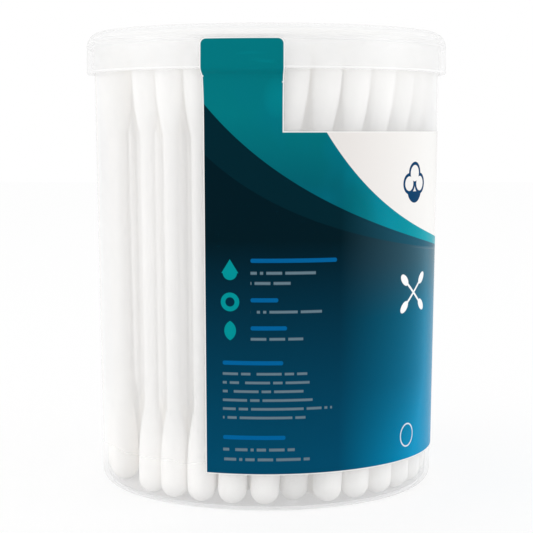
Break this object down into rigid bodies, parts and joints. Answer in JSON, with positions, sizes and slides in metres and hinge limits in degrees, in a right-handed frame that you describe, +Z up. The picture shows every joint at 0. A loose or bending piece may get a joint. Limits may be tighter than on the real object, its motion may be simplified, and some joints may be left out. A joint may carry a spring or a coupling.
{
  "type": "cotton swab tub",
  "caption": "Round frosted tub of cotton swabs standing upright, with a push-on lid, a wrap-round label and a seal tab over the lid.",
  "frame": {"origin": "middle of the tub's flat base, on the surface it stands on", "axes": "+Z up along the tub's axis, -Y towards the front, where the seal tab runs over the lid"},
  "size_m": [0.0628, 0.0629, 0.0781],
  "materials": {
    "frosted_tub": "frosted translucent polypropylene",
    "frosted_lid": "frosted translucent polypropylene",
    "printed_film": "glossy printed film",
    "seal_film": "glossy printed film",
    "stick_plastic": "satin white plastic tube",
    "cotton": "soft wound cotton"
  },
  "bodies": {
    "tub": {"tub": "frosted_tub", "label_wrap": "printed_film", "sticks_row_1": "stick_plastic", "lower_buds_row_1": "cotton", "upper_buds_row_1": "cotton", "sticks_row_2": "stick_plastic", "lower_buds_row_2": "cotton", "upper_buds_row_2": "cotton", "sticks_row_3": "stick_plastic", "lower_buds_row_3": "cotton", "upper_buds_row_3": "cotton", "sticks_row_4": "stick_plastic", "lower_buds_row_4": "cotton", "upper_buds_row_4": "cotton", "sticks_core": "stick_plastic", "lower_buds_core": "cotton", "upper_buds_core": "cotton"},
    "lid": {"lid": "frosted_lid", "seal_tab": "seal_film"}
  },
  "joints": [
    {"name": "lid_lift", "type": "slide", "parent": "tub", "child": "lid", "axis": [0, 0, 1], "range_m": [0, 0.03]}
  ]
}
